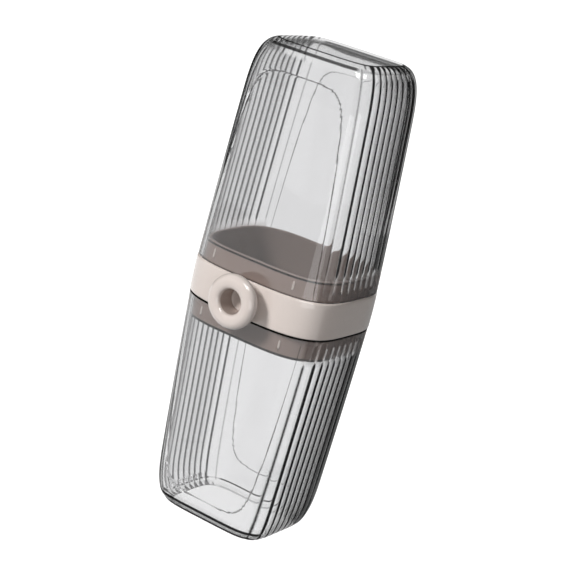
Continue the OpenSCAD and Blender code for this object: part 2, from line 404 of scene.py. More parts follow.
# How far inside the edge of a flat end its rings lie, the same for the innermost ring of the
# floor, and how many rings lie inside the floor's rounding
END_RINGS = (2 * MM, 0.3 * MM)
FLOOR_RING = 2 * MM
FLOOR_RINGS = 2

# Where a groove's painted dark line and the painted dark dashes begin, as shares of the way from a
# flute's middle
GROOVE_FROM = 0.35
HATCH_FROM = (0.1, 0.9)
DASH_FROM = 0.5
DASH_GAP = 0.25

# Painted dark lines round an end: the second one's place in line widths and its shade, how far
# from the front the lines at the back and along the foot fade out, and the share of the clear end
# that does
SECOND_LINE = (3.4, 2.6)
SECOND_SHADE = 0.9
BACK_LINES_FROM = -16 * MM
BACK_LINES_FADE = 6 * MM
FOOT_LINES_FROM = -14 * MM
FOOT_LINES_FADE = 4 * MM
END_FADE = 0.6

# Corner of the front panel's painted dark line that fades out, and over which width it does
PANEL_FADE_HEIGHTS = (6 * MM, 32 * MM)
PANEL_FADE_FROM = 4 * MM
PANEL_FADE = 8 * MM

# How near to a plane a point counts as on it
NEAR = 0.001 * MM


def loft(bm, rings, closed):
    """Quads between rings of equally many points; open lofts get a flat end at both ends."""
    rows = [[bm.verts.new(p) for p in ring] for ring in rings]
    count = len(rows[0])
    pairs = list(zip(rows[:-1], rows[1:]))
    if closed:
        pairs.append((rows[-1], rows[0]))
    for low, high in pairs:
        for i in range(count):
            j = (i + 1) % count
            bm.faces.new((low[i], low[j], high[j], high[i]))
    if not closed:
        bm.faces.new(rows[0][::-1])
        bm.faces.new(rows[-1])
    return rows


def finish_mesh(bm, name):
    """A smooth-shaded object from bm, with its faces turned outward."""
    bmesh.ops.recalc_face_normals(bm, faces=bm.faces)
    mesh = bpy.data.meshes.new(name)
    bm.to_mesh(mesh)
    bm.free()
    mesh.shade_smooth()
    piece = bpy.data.objects.new(name, mesh)
    bpy.context.scene.collection.objects.link(piece)
    return piece


def surface_normals(points):
    """Unit normals of a grid of rings that runs upward along an outside."""
    along = np.gradient(points, axis=0)
    around = np.roll(points, -1, axis=1) - np.roll(points, 1, axis=1)
    normals = np.cross(around, along)
    return normals / np.linalg.norm(normals, axis=2, keepdims=True)


def quarter(steps):
    """Sines and cosines over a quarter circle, for small roundings."""
    turns = np.linspace(0, math.pi / 2, steps + 1)
    return list(zip(np.sin(turns), np.cos(turns)))


def angle_at(cups, rise, reach_up):
    """Angle at which the rounded end edge has risen by rise."""
    return math.acos((1 - rise / reach_up) ** (cups.end_power / 2))


def end_curve(cups, reach_in, reach_up, turn):
    """Height and inset of the rounded end edge at an angle from the flat end."""
    rise = reach_up * (1 - max(0.0, math.cos(turn)) ** (2 / cups.end_power))
    inset = reach_in * (1 - math.sin(turn) ** (2 / cups.end_power))
    return rise, inset


def outside_levels(cups, height):
    """Heights and insets of the outside, from the flat end to the rim's top."""
    start = angle_at(cups, cups.end_cut, cups.round_up)
    flat = end_curve(cups, cups.round_in, cups.round_up, start)[1]
    levels = [(0, flat + ring) for ring in END_RINGS]
    for turn in np.linspace(start, math.pi / 2, END_STEPS + 1):
        rise, inset = end_curve(cups, cups.round_in, cups.round_up, turn)
        levels.append((max(0, rise - cups.end_cut), inset))
    top = levels[-1][0]
    stop = height - cups.plain_rim - cups.run_out
    levels += [(mix(top, stop, s), 0) for s in np.linspace(0, 1, WALL_STEPS + 1)[1:]]
    levels += [(stop + cups.run_out * s, 0) for s in np.linspace(0, 1, RUN_OUT_STEPS + 1)[1:]]
    r = cups.rim_round
    levels.append((height - 2 * r, 0))
    levels += [(height - r + r * s, r - r * c) for s, c in quarter(ROUND_STEPS)]
    return levels


def inside_levels(cups, height):
    """Heights and insets of the inside, from the rim's top down to the floor."""
    r = cups.rim_round
    levels = [(height - r + r * s, cups.wall - r + r * c) for s, c in quarter(ROUND_STEPS)][::-1]
    reach_in = cups.round_in - cups.wall
    reach_up = cups.round_up - cups.wall
    shares = np.linspace(0, 1, INSIDE_STEPS + 1)[:-1]
    levels += [(mix(height - 2 * r, cups.round_up, s), cups.wall) for s in shares]
    last = angle_at(cups, cups.floor - cups.wall, reach_up)
    near = angle_at(cups, cups.floor - cups.wall + cups.floor_round, reach_up)
    for turn in np.linspace(math.pi / 2, near, END_STEPS):
        rise, inset = end_curve(cups, reach_in, reach_up, turn)
        levels.append((cups.wall + rise, cups.wall + inset))
    start = np.array(levels[-1])
    corner = np.array([cups.floor, cups.wall + end_curve(cups, reach_in, reach_up, last)[1]])
    stop = corner + (0, cups.floor_round)
    for t in np.linspace(0, 1, ROUND_STEPS + 1)[1:]:
        levels.append(tuple(start * (1 - t) ** 2 + corner * 2 * t * (1 - t) + stop * t * t))
    levels += [(cups.floor, stop[1] + ring) for ring in (cups.floor_round, FLOOR_RING)]
    return levels


def flute_depths(cups, across):
    """Depth below a flute's crown, as a share of the groove's, at places across it."""
    crown = cups.crown_share * across ** cups.crown_power
    return crown + (1 - cups.crown_share) * across ** cups.groove_power


def cup_mesh(cups, height, tongue, lines):
    """One cup that stands on its end at z 0, as a closed fluted shell in a bmesh.

    tongue is how deep the sleeve's tongue reaches into it. lines holds the rim's painted shade,
    the width of the painted dark lines round the flat end, the height of the painted dark dashes
    at the grooves' ends, and the lowest and highest place of each line along the foot of the
    front.
    """
    stations = Stations()
    outside = outside_levels(cups, height)
    inside = inside_levels(cups, height)
    outer = np.array([stations.ring(cup_section(cups, z, height), e, z) for z, e in outside])
    inner = np.array([stations.ring(cup_section(cups, z, height), e, z) for z, e in inside])
    heights = np.array([z for z, _ in outside])
    fade = smooth_step((height - cups.plain_rim - heights) / cups.run_out)
    fade *= smooth_step(heights / (2 * cups.run_out))
    depths = cups.groove * fade[:, None] * flute_depths(cups, stations.across)[None, :]
    outer -= surface_normals(outer) * depths[:, :, None]
    bm = bmesh.new()
    masks = {name: bm.verts.layers.float.new(name) for name in CUP_MASKS}
    skin = bm.faces.layers.int.new("outside")
    rows = loft(bm, list(outer) + list(inner), closed=False)
    covered = height - tongue - cups.tongue_clear
    mark_flutes(rows, masks, stations, fade, smooth_step((covered - heights) / cups.run_out))
    mark_lines(rows, masks["line"], stations, lines, outside, outer, inner)
    tops = [cups.end_clear] * len(outside) + [cups.floor + cups.end_clear] * len(inside)
    for row, (z, _), top in zip(rows, outside + inside, tops):
        fill(row, masks["plate"], smooth_step((top - z) / (END_FADE * cups.end_clear)))
    bm.verts.index_update()
    last = len(outer) * len(rows[0])
    for face in bm.faces:
        face[skin] = int(all(v.index < last for v in face.verts))
    cut_panel_lines(bm, cups, skin, masks["line"], height)
    return bm


def mark_flutes(rows, masks, stations, fade, clear):
    """Fills the masks of the painted shade in the grooves, on the ribbed sides and in the strip
    over the tongue.

    For each outside row, fade is the depth of its grooves and clear is 0 over the tongue.
    """
    tone = stations.tones * np.clip((stations.across - GROOVE_FROM) / (1 - GROOVE_FROM), 0, 1)
    for row, depth, free in zip(rows, fade, clear):
        fill(row, masks["groove"], depth * free * tone)
        fill(row, masks["rib"], stations.ribs)
        # Painted shade over the tongue, seen through the ribbed sides
        fill(row, masks["rim"], (1 - free) * (1 - stations.smooth))


def mark_lines(rows, mask, stations, lines, outside, outer, inner):
    """Fills the mask of the painted dark lines, painted shade along a cup's edges."""
    dashed = np.maximum(stations.smooth, mix(DASH_GAP, 1, stations.hatch(DASH_FROM)))
    behind = np.ones(len(stations.across))
    if lines.front:
        floor_edge = inner[-FLOOR_RINGS - 1]
        behind = smooth_step((floor_edge[:, 1] - BACK_LINES_FROM) / BACK_LINES_FADE)
    flat = outside[len(END_RINGS)][1]
    second_low, second_high = (flat - widths * lines.end_width for widths in SECOND_LINE)
    for row, points, (z, inset) in zip(rows, outer, outside):
        line = np.zeros(len(row))
        if 0 < z < lines.hatch:
            line = stations.hatch(mix(*HATCH_FROM, z / lines.hatch))
        if flat - lines.end_width < inset <= flat:
            line = behind
        if second_low < inset < second_high:
            line = np.maximum(line, SECOND_SHADE * dashed * behind)
        for low, high in lines.front:
            if low < z < high:
                in_front = smooth_step((FOOT_LINES_FROM - points[:, 1]) / FOOT_LINES_FADE)
                line = np.maximum(line, in_front)
        fill(row, mask, line)
    for row in rows[-ROUND_STEPS - FLOOR_RINGS - 1:-FLOOR_RINGS]:
        fill(row, mask, dashed * behind)
    for row in rows[len(outer) - ROUND_STEPS - 1:len(outer) + ROUND_STEPS + 1]:
        fill(row, mask, lines.rim_tone)


def fill(row, mask, values):
    """Gives the verts of a ring one value, or one each, in a mask."""
    for vert, value in zip(row, np.broadcast_to(values, len(row))):
        vert[mask] = float(value)


def cut_panel_lines(bm, cups, skin, line, height):
    """Cuts the fine line round the smooth panel of each face into the outside, and paints it dark
    as painted shade.
    """
    rim = height - 2 * cups.rim_round
    for side in (-1, 1):
        for offset in (-cups.panel_w, 0, cups.panel_w):
            y = side * (cups.panel + offset)
            faces = [f for f in bm.faces if f[skin] and near_panel(f, cups, side)]
            edges = {e for f in faces for e in f.edges}
            verts = {v for f in faces for v in f.verts}
            bmesh.ops.bisect_plane(
                bm, geom=faces + list(edges) + list(verts), dist=NEAR / 10,
                plane_co=(0, y, 0), plane_no=(0, 1, 0),
            )
    bm.normal_update()
    moved = []
    for vert in bm.verts:
        on_line = abs(abs(vert.co.y) - cups.panel) < NEAR
        if on_line and vert.co.z < rim and all(f[skin] for f in vert.link_faces):
            moved.append((vert, vert.co - vert.normal * cups.panel_d))
    for vert, place in moved:
        vert.co = place
        vert[line] = 1


def fade_front_panel(bm):
    """Lets the panel's painted dark line on the front face run out toward its lower left corner.
    """
    line = bm.verts.layers.float["line"]
    low, high = PANEL_FADE_HEIGHTS
    for vert in bm.verts:
        x, y, z = vert.co
        if y < 0 and low < z < high:
            vert[line] *= float(smooth_step((x - PANEL_FADE_FROM) / PANEL_FADE))


def near_panel(face, cups, side):
    """Whether a face lies round the height of the panel's line on one side of the case."""
    reach = 3 * cups.panel_w
    ys = [v.co.y * side for v in face.verts]
    return max(ys) > cups.panel - reach and min(ys) < cups.panel + reach


# Rings of the sleeve on one tongue, and where the ring beside its strip of painted shade lies
TONGUE_RINGS = 5
STRIP_END = 0.98
STRIP_START = 0.9
BAND_RINGS = 8


def sleeve_profile(cups, collar):
    """Heights and insets round the sleeve's wall: up the outside and down the inside."""
    outer = cups.wall + collar.sleeve_gap
    inner = outer + collar.sleeve_wall
    r = collar.sleeve_round
    low, high = SLEEVE_LOW.z, SLEEVE_HIGH.z
    turns = quarter(ROUND_STEPS)
    levels = [(low + r * (1 - c), outer + r * (1 - s)) for s, c in turns]
    strip = r + collar.shade_strip_width
    clear = strip + r / 4
    levels.append((low + strip * STRIP_END, outer))
    levels += [(z, outer) for z in np.linspace(low + clear, LOWER_HIGH.z, TONGUE_RINGS)]
    levels += [(z, outer) for z in np.linspace(UPPER_LOW.z, high - clear, TONGUE_RINGS)]
    levels.append((high - strip * STRIP_END, outer))
    levels += [(high - r * (1 - s), outer + r * (1 - c)) for s, c in turns]
    levels += [(high - r * (1 - c), inner - r * (1 - s)) for s, c in turns]
    levels += [(z, inner) for z in np.linspace(high - r, UPPER_LOW.z, TONGUE_RINGS)[1:]]
    levels += [(z, inner) for z in np.linspace(LOWER_HIGH.z, low + r, TONGUE_RINGS)[:-1]]
    levels += [(low + r * (1 - s), inner - r * (1 - c)) for s, c in turns]
    return levels


def sleeve_masks(cups, collar, levels):
    """Masks of the sleeve: painted shade in a strip next to a free edge and on the inside, and the
    pips' painted highlight.
    """
    middle = cups.wall + collar.sleeve_gap + collar.sleeve_wall / 2
    strip_shades, inside_shades = [], []
    for z, inset in levels:
        from_edge = min(z - SLEEVE_LOW.z, SLEEVE_HIGH.z - z)
        low_edge = z < (SLEEVE_LOW.z + SLEEVE_HIGH.z) / 2
        start = 0 if low_edge else collar.sleeve_round * STRIP_START
        beside = start <= from_edge < collar.sleeve_round + collar.shade_strip_width
        # Painted shade in a strip beside a free edge, on the outside only
        strip_shades.append(float(beside and inset < middle))
        # Painted shade on the sleeve's inside
        inside_shades.append(float(inset > middle))
    return {"strip": strip_shades, "inside": inside_shades, "pip": [0.0] * len(levels)}


def band_profile(cups, collar):
    """Heights and insets round the band's wall: up the outside and down the inside."""
    outer = -collar.band_proud
    inner = cups.wall + collar.sleeve_gap - collar.band_play
    low, high = BAND_LOW.z, BAND_HIGH.z
    r = collar.band_round
    turns = quarter(ROUND_STEPS + 2)
    levels = [(low + r * (1 - c), outer + r * (1 - s)) for s, c in turns]
    levels += [(z, outer) for z in np.linspace(low + r, high - r, BAND_RINGS)[1:-1]]
    levels += [(high - r * (1 - s), outer + r * (1 - c)) for s, c in turns]
    e = collar.back_edge
    levels += [(high, inner - e), (high - e, inner), (low + e, inner), (low, inner - e)]
    middle, half = (low + high) / 2, (high - low) / 2
    falls = [collar.band_crown * ((z - middle) / half) ** 2 for z, _ in levels]
    return [(z, inset + fall * (inset < inner / 2)) for (z, inset), fall in zip(levels, falls)]


def wall_loop(cups, levels, name, masks=None):
    """A closed wall round the case through a profile of heights and insets.

    masks gives a value for each level under the name of a mask.
    """
    stations = Stations()
    bm = bmesh.new()
    layers = {label: bm.verts.layers.float.new(label) for label in masks or {}}
    rings = [stations.ring(case_section(cups, z), inset, z) for z, inset in levels]
    rows = loft(bm, rings, closed=True)
    for label, layer in layers.items():
        for row, value in zip(rows, masks[label]):
            fill(row, layer, value)
    return finish_mesh(bm, name)


# Points round the cutters and round the pieces that are turned
CUTTER_POINTS = 96
TURNED_POINTS = 144

# How far a cutter goes past the faces that it cuts
CUT_PAST = 1 * MM

# Part of the knob's stand that the bore's straight wall takes, and how far round the roll's back
# its coarser points go, as a share of a quarter turn
BORE_WALL = 0.55
ROLL_BACK = 0.78

# Numbers of steps along the knob's section
LIP_STEPS = 16
ROLL_STEPS = 30
ROLL_END_STEPS = 16
NECK_STEPS = 8


def circle(centre, radius, y, points):
    """Points on a circle at y round the knob's axis."""
    turns = np.linspace(0, 2 * math.pi, points, endpoint=False)
    return [(centre.x + radius * math.cos(t), y, centre.z + radius * math.sin(t)) for t in turns]


def cylinder_cutter(radius, y_low, y_high):
    """A round cutter along Y through the knob's axis."""
    bm = bmesh.new()
    centre = knob_centre()
    loft(bm, [circle(centre, radius, y, CUTTER_POINTS) for y in (y_low, y_high)], closed=False)
    return finish_mesh(bm, "cutter")


def knob_centre():
    """Middle of the knob's outline, on the band's face."""
    return Vector((0, BAND_LOW.y, (KNOB_LOW.z + KNOB_HIGH.z) / 2))


def cut(piece, cutter, operation="DIFFERENCE"):
    """Applies one exact cut or union to a piece and removes the cutter."""
    modifier = piece.modifiers.new("cut", "BOOLEAN")
    modifier.object = cutter
    modifier.operation = operation
    modifier.solver = "EXACT"
    apply_modifiers(piece)
    bpy.data.objects.remove(cutter)


def apply_modifiers(piece):
    """Puts the result of a piece's modifiers into its mesh."""
    graph = bpy.context.evaluated_depsgraph_get()
    made = bpy.data.meshes.new_from_object(piece.evaluated_get(graph))
    piece.modifiers.clear()
    piece.data = made


def turned(profile, name):
    """A closed solid turned about the knob's axis; profile is radius and distance outward."""
    centre = knob_centre()
    bm = bmesh.new()
    rows = []
    for radius, out in profile:
        points = circle(centre, radius, centre.y - out, TURNED_POINTS if radius else 1)
        rows.append([bm.verts.new(point) for point in points])
    pairs = list(zip(rows[:-1], rows[1:]))
    if len(rows[0]) > 1:
        pairs.append((rows[-1], rows[0]))
    for low, high in pairs:
        for i in range(TURNED_POINTS):
            j = (i + 1) % TURNED_POINTS
            if len(low) == 1:
                bm.faces.new((low[0], high[j], high[i]))
            elif len(high) == 1:
                bm.faces.new((low[i], low[j], high[0]))
            else:
                bm.faces.new((low[i], low[j], high[j], high[i]))
    return finish_mesh(bm, name)


def arc(first, second, radius, turns):
    """Points of a round stretch of a section or an outline, by the two places of its middle."""
    return [(first + radius * math.cos(t), second + radius * math.sin(t)) for t in turns]


def knob_profile(knob):
    """Radius and distance outward along the knob's section, from the bore's middle outward."""
    outer = (KNOB_HIGH.x - KNOB_LOW.x) / 2
    bore = knob.bore / 2
    roll = (outer - bore) / 2
    middle = outer - roll
    neck = knob.neck / 2
    stem = knob.stem / 2
    back = BAND_LOW.y - KNOB_HIGH.y
    shoulder = BAND_LOW.y - SLEEVE_LOW.y + knob.end_gap
    fillet = knob.bore_round
    e = knob.edge
    points = [(0, 0), (bore - 3 * fillet, 0), (bore - 2 * fillet, 0)]
    points += [(bore - fillet * (1 - s), fillet * (1 - c)) for s, c in quarter(ROUND_STEPS)]
    points.append((bore, knob.stand * BORE_WALL))
    squarer = 2 / knob.lip_power
    for s, c in quarter(LIP_STEPS)[:-1]:
        points.append((middle - roll * c ** squarer, knob.stand + roll * s ** squarer))
    back_turn = -ROLL_BACK * math.pi / 2
    points += arc(middle, knob.stand, roll, np.linspace(math.pi / 2, back_turn, ROLL_STEPS))
    r = knob.neck_round
    touch_z = knob.stand - math.sqrt((roll + r) ** 2 - (neck + r - middle) ** 2)
    contact = math.atan2(touch_z - knob.stand, neck + r - middle)
    points += arc(middle, knob.stand, roll, np.linspace(back_turn, contact, ROLL_END_STEPS)[1:])
    points += arc(neck + r, touch_z, r, np.linspace(contact + math.pi, math.pi, NECK_STEPS)[1:])
    points += [(neck, shoulder + e), (neck - e, shoulder), (stem + e, shoulder)]
    points += [(stem, shoulder - e), (stem, back + e), (stem - e, back), (0, back)]
    return points


def mark_bore(ring, knob):
    """Fills the bore mask on the wall of the ring's bore, which lies in its own shade."""
    mask = ring.data.attributes.new("bore", "FLOAT", "POINT").data
    centre = knob_centre()
    near = knob.edge / 4
    for vert, value in zip(ring.data.vertices, mask):
        x, y, z = vert.co - centre
        value.value = float(math.hypot(x, z) < knob.bore / 2 + near and y < -near)


def retainer_profile(knob):
    """Radius and distance outward round the retainer's section."""
    outer = (RETAINER_HIGH.x - RETAINER_LOW.x) / 2
    hole = knob.stem / 2
    front = BAND_LOW.y - RETAINER_LOW.y
    back = BAND_LOW.y - RETAINER_HIGH.y
    r = knob.retainer_round
    turns = quarter(ROUND_STEPS)
    points = [(hole, back), (mix(hole, outer, 0.5), back)]
    points += [(outer - r * (1 - s), back + r * (1 - c)) for s, c in turns]
    points += [(outer - r * (1 - c), front - r * (1 - s)) for s, c in turns]
    return points + [(mix(hole, outer, 0.5), front), (hole, front)]


# Friction pips

# Root of a pip in its tongue, its sections as shares of its height and outline, how much of that
# narrowing its length takes, its points, and the step over which the tongue's slope is found
PIP_ROOT = -0.4 * MM
PIP_SECTIONS = ((0.4, 1), (0.8, 0.86), (1, 0.6))
PIP_TAPER = 0.3
PIP_POINTS = 32
SURFACE_STEP = 0.1 * MM


def tongue_point(cups, inset, x, z):
    """Point on the tongue's front at x and at height z."""
    a, b, power, _ = case_section(cups, z)
    a, b = a - inset, b - inset
    return Vector((x, -b * (1 - abs(x / a) ** power) ** (1 / power), z))


def capsule(height, width):
    """Outline of an upright pip, with round ends."""
    straight = (height - width) / 2
    turns = np.linspace(0, 2 * math.pi, PIP_POINTS, endpoint=False) + math.pi / PIP_POINTS
    return [(u, v + math.copysign(straight, v)) for u, v in arc(0, 0, width / 2, turns)]


def pips(cups, collar):
    """All friction pips as one piece, rooted in the tongues."""
    inset = cups.wall + collar.sleeve_gap
    heights = (mix(SLEEVE_LOW.z, LOWER_HIGH.z, 0.5), mix(UPPER_LOW.z, SLEEVE_HIGH.z, 0.5))
    shape = capsule(collar.pip_length, collar.pip_width)
    sections = [(PIP_ROOT, 1)]
    sections += [(collar.pip_proud * share, scale) for share, scale in PIP_SECTIONS]
    bm = bmesh.new()
    for turn in (1, -1):
        for x in (-collar.pip_out, collar.pip_out):
            for z in heights:
                place = tongue_point(cups, inset, x, z)
                right = (tongue_point(cups, inset, x + SURFACE_STEP, z) - place).normalized()
                up = (tongue_point(cups, inset, x, z + SURFACE_STEP) - place).normalized()
                out = right.cross(up)
                rings = []
                for rise, scale in sections:
                    along = up * mix(1, scale, PIP_TAPER)
                    ring = [place + right * u * scale + along * v + out * rise for u, v in shape]
                    rings.append([Vector((turn * p.x, turn * p.y, p.z)) for p in ring])
                loft(bm, rings, closed=False)
    return finish_mesh(bm, "pips")


def mark_pip_highlights(piece, cups, collar):
    """Fills the pip mask, a painted highlight that turns a pip beige, where the sleeve stands out
    of its tongues beside a pip's place.
    """
    inset = cups.wall + collar.sleeve_gap
    mask = piece.data.attributes["pip"].data
    for vert, value in zip(piece.data.vertices, mask):
        x, y, z = vert.co
        if abs(abs(x) - collar.pip_out) < collar.pip_width:
            rise = abs(y) + tongue_point(cups, inset, x, z).y
            value.value = float(rise > collar.pip_proud / 4)


# Node groups and materials

def add(tree, kind, inputs=None, **settings):
    """A node with its settings, and with its inputs set to values or linked to sockets."""
    made = tree.nodes.new(kind)
    for name, value in settings.items():
        setattr(made, name, value)
    for name, value in (inputs or {}).items():
        if isinstance(value, bpy.types.NodeSocket):
            tree.links.new(value, made.inputs[name])
        else:
            made.inputs[name].default_value = value
    return made


def maths(tree, operation, first, second=0.0, clamp=False):
    """The result of one sum on two values or sockets."""
    inputs = {0: first, 1: second}
    return add(tree, "ShaderNodeMath", inputs, operation=operation, use_clamp=clamp).outputs[0]


def blend(tree, share, low, high, kind="MIX"):
    """A colour between two colours, or their product."""
    settings = {"data_type": "RGBA", "blend_type": kind, "clamp_factor": True}
    return add(tree, "ShaderNodeMix", {0: share, 6: low, 7: high}, **settings).outputs[2]


def new_group(name, inputs, outputs):
    """An empty node group with named inputs and outputs, and its two end nodes."""
    tree = bpy.data.node_groups.new(name, "ShaderNodeTree")
    for label, kind, default in inputs:
        socket = tree.interface.new_socket(name=label, in_out="INPUT", socket_type=kind)
        socket.default_value = default
    for label, kind in outputs:
        tree.interface.new_socket(name=label, in_out="OUTPUT", socket_type=kind)
    start = tree.nodes.new("NodeGroupInput")
    stop = tree.nodes.new("NodeGroupOutput")
    return tree, start, stop


def place_group(tree, group, inputs):
    """The group as a node in a material."""
    return add(tree, "ShaderNodeGroup", inputs, node_tree=group)


def rgba(values):
    """A colour with full alpha, as a colour socket takes it."""
    return (*values, 1.0)


def grey(level):
    """A neutral colour with full alpha."""
    return rgba((level, level, level))


# How much grain and handling marks change the gloss
GLOSS_CHANGE = 0.10
SATIN_MARKS = 0.15
CLEAR_MARKS = 0.05

# Clear plastic: how far it turns away from the eye between its painted edge shade and its own
# tint, and how quickly the tint changes between them
EDGE_FACING = (0.76, 0.33)
EDGE_POWER = 1.3

# Its ribs' painted shade, the mask value at which a groove's painted dark line starts on its back
# and on the front of each cup, and the width of that line's edge in mask values
RIB_SHADE = 0.95
BACK_GROOVE = 0.44
LOWER_GROOVE = 0.3
UPPER_GROOVE = 0.42
GROOVE_EDGE = 0.28

# How much of it only veils what it covers, without bending light, and the veils' colours; the veil
# over the tongues and the one along the lines are painted shade
PLATE_VEILED = 0.85
RIM_SHADE_VEILED = 0.5
LINE_VEILED = 0.95
CLEAR_VEIL = (0.93, 0.93, 0.93)
RIM_SHADE_VEIL = (0.42, 0.37, 0.35)
LINE_SHADE_VEIL = (0.02, 0.02, 0.02)
BODY_TINT = (0.40, 0.40, 0.41)

# Height of the satin plastic's grain, the gloss coat on the beige, and the shares of its colour
# that painted shade takes:
# on the sleeve's inside, in the strip beside the sleeve's free edges, and on the bore's wall
GRAIN_HEIGHT = 0.02 * MM
BEIGE_COAT = 0.8
INSIDE_SHADE_TONE = 0.4
STRIP_SHADE_TONE = 0.97
BORE_SHADE_TONE = 0.55


def moulded_group():
    """Fine moulded grain, flow mottling and a slightly uneven gloss."""
    tree, start, stop = new_group(
        "Moulded surface",
        [
            ("Color", "NodeSocketColor", grey(0.8)),
            ("Roughness", "NodeSocketFloat", 0.4),
            ("Mottle", "NodeSocketFloat", 0.06),
            ("Grain scale", "NodeSocketFloat", 3200.0),
        ],
        [
            ("Color", "NodeSocketColor"),
            ("Roughness", "NodeSocketFloat"),
            ("Height", "NodeSocketFloat"),
        ],
    )
    place = add(tree, "ShaderNodeTexCoord").outputs["Object"]
    grain = add(tree, "ShaderNodeTexNoise", {
        "Vector": place, "Scale": start.outputs["Grain scale"], "Detail": 3.0}).outputs["Fac"]
    flow = add(tree, "ShaderNodeTexNoise", {
        "Vector": place, "Scale": 45.0, "Detail": 4.0, "Distortion": 1.2}).outputs["Fac"]
    uneven = maths(tree, "SUBTRACT", flow, 0.5)
    level = maths(tree, "ADD", 1.0, maths(tree, "MULTIPLY", uneven, start.outputs["Mottle"]))
    tint = add(tree, "ShaderNodeCombineColor", {"Red": level, "Green": level, "Blue": level})
    shaded = blend(tree, 1.0, start.outputs["Color"], tint.outputs["Color"], "MULTIPLY")
    gloss = maths(tree, "MULTIPLY", maths(tree, "SUBTRACT", grain, 0.5), GLOSS_CHANGE)
    rough = maths(tree, "ADD", start.outputs["Roughness"], gloss)
    tree.links.new(shaded, stop.inputs["Color"])
    tree.links.new(rough, stop.inputs["Roughness"])
    tree.links.new(grain, stop.inputs["Height"])
    return tree


def handling_group():
    """Sparse hairline marks from handling, as a mask."""
    tree, start, stop = new_group(
        "Handling marks",
        [("Amount", "NodeSocketFloat", 0.5), ("Scale", "NodeSocketFloat", 90.0)],
        [("Mask", "NodeSocketFloat")],
    )
    place = add(tree, "ShaderNodeTexCoord").outputs["Object"]
    stretched = add(tree, "ShaderNodeMapping", {
        "Vector": place, "Scale": (1.0, 1.0, 0.07), "Rotation": (0.5, 0.35, 0.0)})
    lines = add(tree, "ShaderNodeTexNoise", {
        "Vector": stretched.outputs["Vector"], "Scale": start.outputs["Scale"], "Detail": 2.0})
    narrow = add(tree, "ShaderNodeMapRange", {
        "Value": lines.outputs["Fac"], "From Min": 0.66, "From Max": 0.74})
    patches = add(tree, "ShaderNodeTexNoise", {"Vector": place, "Scale": 30.0, "Detail": 2.0})
    mask = maths(tree, "MULTIPLY", narrow.outputs["Result"], patches.outputs["Fac"])
    mask = maths(tree, "MULTIPLY", mask, start.outputs["Amount"], clamp=True)
    tree.links.new(mask, stop.inputs["Mask"])
    return tree


def new_material(name):
    """An empty node material and its output node."""
    material = bpy.data.materials.new(name)
    material.use_nodes = True
    tree = material.node_tree
    tree.nodes.clear()
    return material, tree, add(tree, "ShaderNodeOutputMaterial")


def satin_plastic(name, shade, roughness, groups, masks, coat):
    """Opaque moulded plastic with a soft gloss; each mask has a name, an amount and a colour."""
    material, tree, output = new_material(name)
    tone = rgba(shade)
    for label, amount, over in masks:
        mask = add(tree, "ShaderNodeAttribute", attribute_name=label).outputs["Fac"]
        share = maths(tree, "MULTIPLY", mask, amount, clamp=True)
        tone = blend(tree, share, tone, rgba(over))
    surface = place_group(tree, groups["moulded"], {
        "Color": tone, "Roughness": roughness, "Mottle": 0.05, "Grain scale": 3200.0})
    marks = place_group(tree, groups["handling"], {"Amount": 0.35, "Scale": 110.0})
    marked = maths(tree, "MULTIPLY", marks.outputs["Mask"], SATIN_MARKS)
    rough = maths(tree, "ADD", surface.outputs["Roughness"], marked, clamp=True)
    bump = add(tree, "ShaderNodeBump", {
        "Height": surface.outputs["Height"], "Strength": 0.12, "Distance": GRAIN_HEIGHT})
    shader = add(tree, "ShaderNodeBsdfPrincipled", {
        "Base Color": surface.outputs["Color"], "Roughness": rough,
        "Normal": bump.outputs["Normal"], "IOR": 1.46, "Specular IOR Level": 0.25,
        "Coat Weight": coat, "Coat Roughness": 0.06})
    tree.links.new(shader.outputs["BSDF"], output.inputs["Surface"])
    return material


